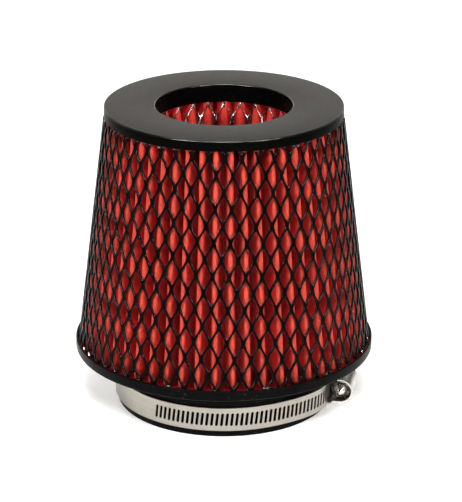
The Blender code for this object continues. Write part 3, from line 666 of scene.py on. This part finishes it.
def closed_rows(ring, rows, uvs):
    """Faces between rows of a closed sheet and their corners' UVs, which end at the joint."""
    faces = []
    face_uvs = []
    past_joint = 1.0 * MM
    for row in range(rows):
        for index in range(ring):
            after = (index + 1) % ring
            low = row * ring
            corners = (low + index, low + after, low + ring + after, low + ring + index)
            faces.append(corners)
            values = [uvs[corner] for corner in corners]
            if after == 0:
                values[1] = (values[0][0] + past_joint, values[1][1])
                values[2] = (values[3][0] + past_joint, values[2][1])
            face_uvs += values
    return faces, face_uvs


def pleats(name, node, count, first_angle, tip_radii, material, seam_fold, seed, seen_outside=True):
    """A CAD node's pleated sheet: even folds with slight hand-made wander, closed into a ring.

    The fold_tip attribute is 1 on the tips of the side that is seen and 0 in its valleys. The
    valley at seam_fold is drawn back, clear of the clip that joins the sheet's ends.
    """
    (low_height, low_inner, low_outer), (high_height, high_inner, high_outer) = end_radii(node)
    pitch = TURN / count
    random = np.random.default_rng(seed)
    sway = random.normal(0.0, 0.028, (count, 3)) * pitch
    reach = random.normal(0.0, 0.16, (count, 2)) * MM
    seam_setback = SEAM_SETBACK if seen_outside else -SEAM_SETBACK
    points = []
    uvs = []
    fold_tips = []
    for row in range(PLEAT_ROWS + 1):
        share = row / PLEAT_ROWS
        height = low_height + (high_height - low_height) * share
        outer_radius = low_outer + (high_outer - low_outer) * share
        inner_radius = low_inner + (high_inner - low_inner) * share
        path = fold_path(tip_radii, pitch, outer_radius, inner_radius)
        travelled = 0.0
        previous = None
        for fold in range(count):
            bend = (sway[fold, 0] + sway[fold, 1] * math.sin(3.0 * share + fold)
                    + sway[fold, 2] * math.cos(5.0 * share))
            stretch = reach[fold, 0] + reach[fold, 1] * math.sin(4.0 * share + 2.0 * fold)
            for angle, radius in path:
                tip_share = (radius - inner_radius) / (outer_radius - inner_radius)
                seen_share = tip_share if seen_outside else 1.0 - tip_share
                if abs(fold + angle / pitch - seam_fold) < 0.5:
                    radius += seam_setback * (1.0 - seen_share)
                there = polar(radius + stretch * tip_share,
                              first_angle + fold * pitch + angle + bend * tip_share, height)
                if previous is not None:
                    travelled += math.dist(there[:2], previous)
                previous = there[:2]
                points.append(there)
                uvs.append((travelled, height))
                fold_tips.append(seen_share)
    faces, face_uvs = closed_rows(len(points) // (PLEAT_ROWS + 1), PLEAT_ROWS, uvs)
    piece = mesh_piece(name, points, faces, [material], 60.0)
    add_uvs(piece, face_uvs)
    attribute = piece.data.attributes.new("fold_tip", "FLOAT", "POINT")
    attribute.data.foreach_set("value", np.array(fold_tips, dtype=np.float32))
    thick = piece.modifiers.new("sheet", "SOLIDIFY")
    thick.thickness = MEDIA_SHEET
    thick.offset = -1.0
    thick.use_even_offset = False
    return piece


# ---- turned parts


def rounded(corners):
    """A profile of (radius, height) points from corners of (radius, height, rounding)."""
    arc_steps = 6
    profile = []
    count = len(corners)
    for index, (radius, height, rounding) in enumerate(corners):
        here = Vector((radius, height))
        if rounding <= 0.0:
            profile.append(here)
            continue
        before = Vector(corners[index - 1][:2])
        after = Vector(corners[(index + 1) % count][:2])
        to_before = (before - here).normalized()
        to_after = (after - here).normalized()
        half_turn = 0.5 * to_before.angle(to_after)
        reach = rounding / math.tan(half_turn)
        centre = here + (to_before + to_after).normalized() * (rounding / math.sin(half_turn))
        start = here + to_before * reach - centre
        end = here + to_after * reach - centre
        sweep = start.angle_signed(end)
        for step in range(arc_steps + 1):
            turned = start.copy()
            turned.rotate(Matrix.Rotation(-sweep * step / arc_steps, 2))
            profile.append(centre + turned)
    return profile


def turned(name, corners, materials, segments=192, closed=True):
    """Turn a rounded profile, in millimetres, about the filter's axis."""
    profile = rounded(corners)
    points = []
    for step in range(segments):
        angle = TURN * step / segments
        points += [polar(point.x * MM, angle, point.y * MM) for point in profile]
    count = len(profile)
    faces = []
    for step in range(segments):
        here = step * count
        following = ((step + 1) % segments) * count
        for index in range(count if closed else count - 1):
            after = (index + 1) % count
            faces.append((here + index, following + index, following + after, here + after))
    piece = mesh_piece(name, points, faces, materials, 40.0)
    bm = bmesh.new()
    bm.from_mesh(piece.data)
    bmesh.ops.remove_doubles(bm, verts=bm.verts, dist=1e-6)
    bmesh.ops.dissolve_degenerate(bm, edges=bm.edges, dist=1e-7)
    bmesh.ops.recalc_face_normals(bm, faces=bm.faces)
    bm.to_mesh(piece.data)
    bm.free()
    return piece


def levels_of(node):
    """The node's greatest radius, top and foot in millimetres."""
    low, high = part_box(node)
    return high[0] / MM, high[2] / MM, low[2] / MM


def build_top_cap():
    """A ring with a skirt outside and a collar in its hole: its sides get a darker copy of the moulding as
    painted shade, its upper edges a glossier, paler one as a painted highlight.
    """
    rim, top, foot = levels_of("top_cap")
    skirt = top - CAP_SKIRT_DEPTH
    plate = top - CAP_PLATE
    cap = turned("top_cap_moulding", [
        (rim, skirt, 0.25), (rim, top, 0.55),
        (CAP_HOLE_RADIUS, top, 0.6), (CAP_HOLE_RADIUS, foot, 0.74),
        (COLLAR_OUTER_RADIUS, foot, 0.74), (COLLAR_OUTER_RADIUS, plate, 0.0),
        (SKIRT_INNER_RADIUS, plate, 0.0), (SKIRT_INNER_RADIUS, skirt, 0.2),
    ], [moulded_black("cap_black_moulding", 0.0012, 0.34, 0.045, 0.05),
        moulded_black("cap_edge_painted_highlight", 0.0014, 0.20, 0.6, 0.0),
        moulded_black("cap_side_painted_shade", 0.0007, 0.32, 0.018, 0.05)])
    for face in cap.data.polygons:
        spread = math.hypot(face.center.x, face.center.y) / MM
        # Faces below the top take a darker, less glossy copy of the moulding: painted shade on the sides.
        if face.center.z / MM < top - 0.6:
            face.material_index = 2
        # The top's outer and inner edges take a glossier, paler copy: a painted highlight.
        elif spread > rim - 0.45 or spread < CAP_HOLE_RADIUS + 0.4:
            face.material_index = 1
    ride_for(cap, "filter", "top_cap")


def build_base_flange():
    """Neck, flange and rim in one rubber moulding."""
    rim, lip, foot = levels_of("base_flange")
    flange = turned("base_flange_moulding", [
        (NECK_BORE_RADIUS, foot, 0.8), (NECK_RADIUS, foot, 0.7), (NECK_RADIUS, FLANGE_UNDERSIDE, 2.2),
        (rim, FLANGE_UNDERSIDE, 0.9), (rim, lip, 0.48), (LIP_INNER_RADIUS, lip, 0.48),
        (LIP_INNER_RADIUS, FLANGE_FLOOR, 0.8), (INNER_BEAD_RADIUS, FLANGE_FLOOR, 0.6),
        (INNER_BEAD_RADIUS, INNER_BEAD_TOP, 0.6), (NECK_BORE_RADIUS, INNER_BEAD_TOP, 0.9),
    ], [moulded_black("flange_black_moulding", 0.0016, 0.33, 0.026, 0.25)])
    ride_for(flange, "filter", "base_flange")


def build_inner_cone_cup():
    """The cup that closes the bottom of the inner cone."""
    rim, top, foot = levels_of("inner_cone_cup")
    cup = turned("inner_cone_cup_moulding", [
        (0.0, foot, 0.0), (rim - CUP_UNDERSIDE_BEVEL, foot, 0.0), (rim, foot + 0.6, 0.6), (rim, top, 0.38),
        (CUP_WALL_INNER_RADIUS, top, 0.38), (CUP_WALL_INNER_RADIUS, CUP_INNER_FLOOR, 0.5),
        (CUP_BOSS_RADIUS, CUP_INNER_FLOOR, 0.3), (CUP_BOSS_RADIUS, CUP_BOSS_TOP, 0.6),
        (0.0, CUP_BOSS_TOP, 0.0),
    ], [moulded_black("cup_black_moulding", 0.006, 0.5, 0.3)], 128, closed=False)
    ride_for(cup, "filter", "inner_cone_cup")


# ---- clamp


def strap_radius(angle):
    """Inner radius of the front strip: low on the neck, higher over the saddle.

    Short of the housing it stands off the neck, where a real strap runs straight.
    """
    over_saddle = smooth_share(angle, math.radians(-66.0), math.radians(-29.0))
    stand_off = smooth_share(angle, math.radians(-60.0), math.radians(-31.0))
    stand_off *= 1.0 - smooth_share(angle, math.radians(-30.0), math.radians(-20.0))
    return STRAP_INNER_RADIUS + STRAP_RISE_OVER_SADDLE * over_saddle + STRAP_STAND_OFF * stand_off


def band_radius(angle):
    """Inner radius of the back strip, which meets the front strip at the left of the neck."""
    to_front_strip = smooth_share(angle, math.radians(60.0), math.radians(150.0))
    return BAND_INNER_RADIUS + (STRAP_INNER_RADIUS - BAND_INNER_RADIUS) * to_front_strip


class Strip:
    """The skin of a clamp strip. A place on it is an angle about the neck and a rise from its middle."""

    def __init__(self, radius_at, centre_height):
        self.radius_at = radius_at
        self.centre_height = centre_height
        self.points = []
        self.uvs = []
        self.faces = []
        self.slot_walls = []

    def pair(self, angle, rise):
        """The outer and inner point at one place on the strip."""
        for thickness in (BAND_SHEET, 0.0):
            radius = self.radius_at(angle) + thickness
            self.points.append(polar(radius, angle, self.centre_height + rise))
            self.uvs.append((angle * BAND_OUTER_RADIUS, rise))
        return len(self.points) - 2, len(self.points) - 1

    def line(self, angle, lean):
        """Four pairs across the strip: at its two edges and at the height of the slots' ends."""
        return [self.pair(angle + rise * lean / BAND_OUTER_RADIUS, rise)
                for rise in (-0.5 * BAND_WIDTH, -0.5 * SLOT_LENGTH, 0.5 * SLOT_LENGTH, 0.5 * BAND_WIDTH)]

    def skin(self, ring):
        """A face on the outer side and its twin on the inner side."""
        self.faces.append([pair[0] for pair in ring])
        self.faces.append([pair[1] for pair in reversed(ring)])

    def wall(self, first, second):
        """A face through the sheet's thickness."""
        self.faces.append([first[1], second[1], second[0], first[0]])

    def walls(self, run):
        """Faces through the sheet's thickness, all along a run of pairs."""
        for first, second in zip(run, run[1:]):
            self.wall(first, second)

    def plain_cell(self, before, after):
        """The strip between two lines."""
        for level in range(3):
            self.skin([before[level], after[level], after[level + 1], before[level + 1]])
        self.wall(before[0], after[0])
        self.wall(after[3], before[3])

    def slotted_cell(self, before, after, centre):
        """The strip between two lines with a round-ended leaning slot through it."""
        lean = math.tan(SLOT_LEAN)
        half_width = 0.5 * SLOT_WIDTH
        straight = 0.5 * SLOT_LENGTH - half_width
        edge_spots = [0.25 * SLOT_STEP * BAND_OUTER_RADIUS * share for share in (1.0, 0.0, -1.0)]

        def spot(x, rise):
            return self.pair(centre + (x + rise * lean) / BAND_OUTER_RADIUS, rise)

        arc = [math.pi * step / 6 for step in range(7)]
        cap = [(half_width * math.cos(turn), straight + half_width * math.sin(turn)) for turn in arc]
        slot = [spot(x, rise) for x, rise in cap] + [spot(-x, -rise) for x, rise in cap]
        top = [spot(x, 0.5 * BAND_WIDTH) for x in edge_spots]
        low = [spot(-x, -0.5 * BAND_WIDTH) for x in edge_spots]
        for ring, near, far, edge in ((slot, after, before, top),
                                      (slot[7:] + slot[:7], before[::-1], after[::-1], low)):
            self.skin([ring[0], near[2], near[3], edge[0], ring[2], ring[1]])
            self.skin([ring[2], edge[0], edge[1], ring[3]])
            self.skin([ring[3], edge[1], edge[2], ring[4]])
            self.skin([ring[4], edge[2], far[3], far[2], ring[6], ring[5]])
            self.skin([ring[6], far[2], far[1], ring[7]])
        self.slot_walls += range(len(self.faces), len(self.faces) + len(slot))
        self.walls([slot[0]] + slot[::-1])
        self.walls([before[0]] + low + [after[0]])
        self.walls([after[3]] + top + [before[3]])

    def close_ends(self, first, last):
        """The sheet's cut faces at the strip's two ends."""
        for level in range(3):
            self.wall(first[level + 1], first[level])
            self.wall(last[level], last[level + 1])


def strip_piece(name, radius_at, centre_height, columns, slots, materials):
    """A clamp strip: plain between the columns' angles, then a cell round each slot's angle."""
    strip = Strip(radius_at, centre_height)
    lines = [strip.line(angle, 0.0) for angle in columns]
    for before, after in zip(lines, lines[1:]):
        strip.plain_cell(before, after)
    first = lines[0]
    last = lines[-1]
    if slots:
        lean = math.tan(SLOT_LEAN)
        opening = strip.line(slots[0] - 0.5 * SLOT_STEP, lean)
        strip.plain_cell(last, opening)
        last = opening
        for centre in slots:
            closing = strip.line(centre + 0.5 * SLOT_STEP, lean)
            strip.slotted_cell(last, closing, centre)
            last = closing
    strip.close_ends(first, last)
    piece = mesh_piece(name, strip.points, strip.faces, materials, 40.0)
    # The slots' walls take the second material, painted dark as shade.
    for index in strip.slot_walls:
        piece.data.polygons[index].material_index = 1
    add_uvs(piece, [strip.uvs[index] for face in strip.faces for index in face])
    round_edges(piece, 0.09 * MM, 2)
    return piece


def housing_mesh(outward, along, centre, materials):
    """The stamped arch over the worm, whose feet fold down past the strip's edges."""
    upward = outward.cross(along)
    arc_steps = 40

    def path(arch_radius, shoulder, foot_half_width):
        side = [(HOUSING_FOOT, foot_half_width), (shoulder, foot_half_width), (shoulder, arch_radius)]
        turns = [0.5 * math.pi - math.pi * step / arc_steps for step in range(arc_steps + 1)]
        arch = [(arch_radius * math.cos(turn), arch_radius * math.sin(turn)) for turn in turns]
        return side + arch + [(out, -up) for out, up in reversed(side)]

    outer = path(HOUSING_ARCH_RADIUS, HOUSING_SHOULDER, HOUSING_FOOT_HALF_WIDTH)
    inner = path(HOUSING_ARCH_RADIUS - HOUSING_SHEET, HOUSING_SHOULDER - HOUSING_SHEET,
                 HOUSING_FOOT_HALF_WIDTH - 0.75 * HOUSING_SHEET)
    count = len(outer)
    points = []
    for end in (-HOUSING_HALF_LENGTH, HOUSING_HALF_LENGTH):
        for out, up in outer + inner:
            points.append(centre + outward * out + upward * up + along * end)
    faces = []
    edge_highlight = []
    far = 2 * count
    for index in range(count - 1):
        faces.append((index, index + 1, far + index + 1, far + index))
        faces.append((count + index + 1, count + index, far + count + index, far + count + index + 1))
        # The cut ends at both ends of the sheet take the second material, painted pale as a highlight.
        edge_highlight += [len(faces), len(faces) + 1]
        faces.append((index + 1, index, count + index, count + index + 1))
        faces.append((far + index, far + index + 1, far + count + index + 1, far + count + index))
    for index in (0, count - 1):
        faces.append((index, far + index, far + count + index, count + index))
    piece = outward_piece("clamp_housing_stamping", points, faces, materials)
    for index in edge_highlight:
        piece.data.polygons[index].material_index = 1
    round_edges(piece, 0.26 * MM, 4)
    return piece


def screw_mesh(outward, along, centre, materials):
    """Pointed tip, worm with a right-hand ridge, collar and slotted hexagonal head."""
    sideways = along.cross(outward)
    angles = [TURN * step / 40 for step in range(40)]
    points = []
    faces = []

    def loft(rings):
        """A closed skin through rings of (outward, sideways, along) points in millimetres."""
        start = len(points)
        count = len(rings[0])
        for ring in rings:
            points.extend(centre + (outward * x + sideways * y + along * z) * MM for x, y, z in ring)
        for level in range(len(rings) - 1):
            low = start + level * count
            for index in range(count):
                after = (index + 1) % count
                faces.append((low + index, low + after, low + count + after, low + count + index))
        faces.append(tuple(range(start, start + count)))
        faces.append(tuple(range(len(points) - count, len(points))))

    def worm_radius(axial, angle):
        """The worm's radius, from the distance to the nearest crest of its ridge."""
        turns = (axial / WORM_PITCH - angle / TURN + 0.5 + SLOT_SHIFT) % 1.0
        from_crest = min(turns, 1.0 - turns) * WORM_PITCH
        return WORM_RADIUS - (WORM_RADIUS - WORM_ROOT_RADIUS) * smooth_share(from_crest, 0.2, 0.7)

    def circle(axial, radii):
        return [(radius * math.cos(angle), radius * math.sin(angle), axial)
                for radius, angle in zip(radii, angles)]

    worm_steps = 72
    worm = []
    for step in range(worm_steps + 1):
        axial = WORM_HALF_LENGTH * (2.0 * step / worm_steps - 1.0)
        worm.append(circle(axial, [worm_radius(axial, angle) for angle in angles]))
    tip = [circle(axial, [radius] * len(angles)) for axial, radius in SCREW_TIP]
    collar = [circle(axial, [radius] * len(angles)) for axial, radius in SCREW_COLLAR]
    loft(tip + worm + collar)

    def prism(outline, low, high):
        """An upright prism along the axis with a chamfered end."""
        chamfer = 0.3
        inset = [(x * 0.94, y * 0.94) for x, y in outline]
        loft([[(x, y, low) for x, y in outline], [(x, y, high - chamfer) for x, y in outline],
              [(x, y, high) for x, y in inset]])

    corner = HEAD_ACROSS_FLATS / math.sqrt(3.0)
    flat = 0.5 * HEAD_ACROSS_FLATS
    hexagon = [(corner * math.cos(TURN * step / 6), corner * math.sin(TURN * step / 6)) for step in range(6)]
    prism(hexagon, HEAD_START, HEAD_SLOT_FLOOR)
    slot_corner = corner - HEAD_SLOT_HALF_WIDTH / math.sqrt(3.0)
    for side in (1.0, -1.0):
        prism([(slot_corner, side * HEAD_SLOT_HALF_WIDTH), (0.5 * corner, side * flat),
               (-0.5 * corner, side * flat), (-slot_corner, side * HEAD_SLOT_HALF_WIDTH)],
              HEAD_SLOT_FLOOR - 0.5, HEAD_TOP)
    return outward_piece("clamp_screw_turned", points, faces, materials)


def build_clamp():
    """Clamp strip, housing, saddle and screw, placed by the screw's joint."""
    joints = frame["record"]["behaviour"]["joints"]
    hinge = next(joint for joint in joints if joint["name"] == "screw_turn")
    place = Vector(hinge["pos_m"])
    along = -Vector(hinge["axis"])
    outward = Vector((place.x, place.y, 0.0)).normalized()
    build_strip(math.atan2(place.y, place.x), place.z)
    stamped = bare_steel("clamp_stamping_steel", (0.60, 0.575, 0.54), 0.30)
    # Painted highlight: the housing's cut ends get a paler steel, for the bright edge of the arch.
    edge_highlight = bare_steel("housing_edge_painted_highlight", (0.88, 0.86, 0.82), 0.50)
    ride_for(housing_mesh(outward, along, place, [stamped, edge_highlight]), "clamp", "clamp_housing")
    set_material("clamp_saddle", stamped)
    ride_for(screw_mesh(outward, along, place, [worm_steel(along)]), "screw", "clamp_screw")


def build_strip(housing_angle, height):
    """The slotted front of the strip, which stays where the CAD strap was, and its plain back."""
    steel = band_steel()
    # Painted shade: the slots' walls get a nearly black steel, for the shade inside the slots.
    slot_wall_shade = bare_steel("slot_wall_painted_shade", (0.05, 0.047, 0.043), 0.45)
    first = math.ceil((SLOT_FIRST_ANGLE - housing_angle) / SLOT_STEP + SLOT_SHIFT)
    last = math.floor((SLOT_LAST_ANGLE - housing_angle) / SLOT_STEP + SLOT_SHIFT)
    slots = [housing_angle + (slot - SLOT_SHIFT) * SLOT_STEP for slot in range(first, last + 1)]
    left = -math.pi
    plain_end = slots[0] - 0.5 * SLOT_STEP - math.radians(0.8)
    columns = [left + (plain_end - left) * index / 24 for index in range(25)]
    front = strip_piece("clamp_strip_front", strap_radius, height, columns, slots, [steel, slot_wall_shade])
    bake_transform(front)
    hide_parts("clamp_strap")
    start = housing_angle + SADDLE_HALF_ANGLE + math.radians(0.3)
    columns = [start + (math.pi - start) * index / 72 for index in range(73)]
    back = strip_piece("clamp_strip_back", band_radius, height, columns, [], [steel])
    ride_for(back, "clamp", "clamp_band")


# ---- filter


def build_outer_cone(cut_metal):
    """The black outer guard and the red pleats behind it."""
    (low, _, low_radius), (high, _, high_radius) = end_radii("outer_guard_mesh")
    # The strands' outer bevels get a copy of the coating with ten times the specular level, a painted
    # highlight along their edges.
    guard = expanded_sheet(
        "outer_guard_expanded", ((low, low_radius), (high, high_radius)), math.radians(-90.0),
        [coated_mesh("guard_black_coating", low, high, 0.022), cut_metal,
         coated_mesh("guard_coating_painted_highlight", low, high, 0.22)],
        OUTER_GUARD_SHEET, OUTER_GUARD_CROSSING, OUTER_GUARD_LEAN)
    ride_for(guard, "filter", "outer_guard_mesh")
    media = pleats("outer_pleats", "outer_media", OUTER_PLEATS, math.radians(-87.0), OUTER_TIP_RADII,
                   gauze("red_gauze_outer", 0.5, 0.5), OUTER_SEAM_FOLD, 3)
    ride_for(media, "filter", "outer_media")


def build_inner_cone(cut_metal):
    """The bare inner guard and the red pleats round it."""
    dull = bare_steel("inner_guard_dull_steel", (0.36, 0.345, 0.325), 0.22, stain_share=0.12)
    (low, low_radius, _), (high, high_radius, _) = end_radii("inner_guard_mesh")
    guard = expanded_sheet(
        "inner_guard_expanded", ((low, low_radius), (high, high_radius)), math.radians(90.0),
        [dull, cut_metal, dull], INNER_GUARD_SHEET, hole_share=INNER_HOLE_SHARE, facing=-1.0)
    ride_for(guard, "filter", "inner_guard_mesh")
    media = pleats("inner_pleats", "inner_media", INNER_PLEATS, 0.0, INNER_TIP_RADII,
                   gauze("red_gauze_inner", 0.97, 0.25), INNER_SEAM_FOLD, 5, seen_outside=False)
    ride_for(media, "filter", "inner_media")


def finish_hidden_parts():
    """Support meshes, seam clips and seals keep the CAD's shapes."""
    bare = bare_steel("bare_expanded_steel", (0.70, 0.69, 0.67), 0.26)
    for cone in ("outer", "inner"):
        set_material(cone + "_support_mesh", bare)
        set_material(cone + "_media_seam_clip", bare)
    seal = moulded_black("seal_compound", 0.012, 0.55, 0.4, 0.1)
    for node in ("top_potting", "inner_cup_potting"):
        set_material(node, seal)
    set_material("base_potting", moulded_black("oil_stained_seal", 0.11, 0.5, 0.2, 0.0, (1.0, 0.02, 0.03)))


# ---- stage


def studio_world():
    """White backdrop behind the object and above it, dim studio towards the camera."""
    world = bpy.data.worlds.new("studio_world")
    sky = NodeTree(world)
    backwards = sky.math("MULTIPLY_ADD", sky.split(sky.coords("Generated"))["Y"], 0.5, 0.5)
    background = sky.nodes["Background"]
    sky.link(sky.ramp(backwards, [(0.0, 0.04), (0.45, 0.06), (0.75, 0.45)]), background.inputs["Color"])
    background.inputs["Strength"].default_value = WORLD_STRENGTH
    bpy.context.scene.world = world


def softbox(name, place, target, width, height, power, spread=180.0, tint=SOFTBOX_TINT):
    """A rectangular soft light aimed at a target."""
    data = bpy.data.lights.new(name, "AREA")
    data.color = tint
    data.shape = "RECTANGLE"
    data.size = width
    data.size_y = height
    data.energy = power
    data.spread = math.radians(spread)
    lamp = bpy.data.objects.new(name, data)
    lamp.location = place
    lamp.rotation_mode = "QUATERNION"
    lamp.rotation_quaternion = (Vector(target) - Vector(place)).to_track_quat("-Z", "Y")
    bpy.context.collection.objects.link(lamp)


def build_floor():
    """A pale floor with a faint glow, so that it stays white round the object."""
    finish = Finish("studio_floor")
    faint = finish.noise(finish.coords("Object"), 3.0, 3.0)
    finish.vary("Base Color", finish.ramp(faint, [(0.3, 0.90), (0.7, 0.93)]))
    finish.keep("Roughness", 0.9)
    finish.keep("Specular IOR Level", 0.0)
    finish.keep("Emission Color", (1.0, 1.0, 1.0, 1.0))
    finish.keep("Emission Strength", 0.30)
    far = FLOOR_HALF_WIDTH
    corners = [(-far, -far, 0.0), (far, -far, 0.0), (far, far, 0.0), (-far, far, 0.0)]
    mesh_piece("studio_floor", corners, [(0, 1, 2, 3)], [finish.material])


def build_lights():
    """Soft boxes in front, at the sides, behind and over the floor."""
    middle = (0.0, 0.0, 0.08)
    softbox("key_box", (0.0, -0.80, 1.05), middle, 0.45, 0.35, 1.0, 40.0)
    softbox("front_left", (-0.78, -1.00, 0.52), middle, 0.55, 0.16, 0.7, 30.0)
    softbox("front_right", (0.78, -1.00, 0.52), middle, 0.55, 0.16, 0.7, 30.0)
    softbox("left_strip", (-1.0, 0.30, 0.40), middle, 0.25, 0.8, 0.22)
    softbox("right_strip", (1.0, 0.30, 0.40), middle, 0.25, 0.8, 0.22)
    softbox("back_wall", (0.0, 1.35, 0.62), (0.0, 0.1, 0.05), 1.4, 0.8, 3.0, 120.0, BACK_WALL_TINT)
    softbox("floor_box", (0.0, 0.50, 1.2), (0.0, 0.50, 0.0), 0.9, 1.1, 2.5, 80.0, FLOOR_TINT)


def build_camera():
    """A long lens in front of the object, looking a little down."""
    data = bpy.data.cameras.new("camera")
    camera = bpy.data.objects.new("camera", data)
    bpy.context.collection.objects.link(camera)
    back = Vector((0.0, -math.cos(CAMERA_ELEVATION), math.sin(CAMERA_ELEVATION)))
    camera.location = CAMERA_AIM + back * CAMERA_DISTANCE
    camera.rotation_mode = "QUATERNION"
    camera.rotation_quaternion = (-back).to_track_quat("-Z", "Y")
    data.lens = CAMERA_LENS
    data.shift_x = CAMERA_SHIFT
    bpy.context.scene.camera = camera


bpy.context.scene.view_settings.view_transform = "Standard"
build_top_cap()
build_base_flange()
build_inner_cone_cup()
cut_ends = bare_steel("cut_ends_steel", (0.72, 0.70, 0.67), 0.35)
build_outer_cone(cut_ends)
build_inner_cone(cut_ends)
finish_hidden_parts()
build_clamp()
build_floor()
studio_world()
build_lights()
build_camera()
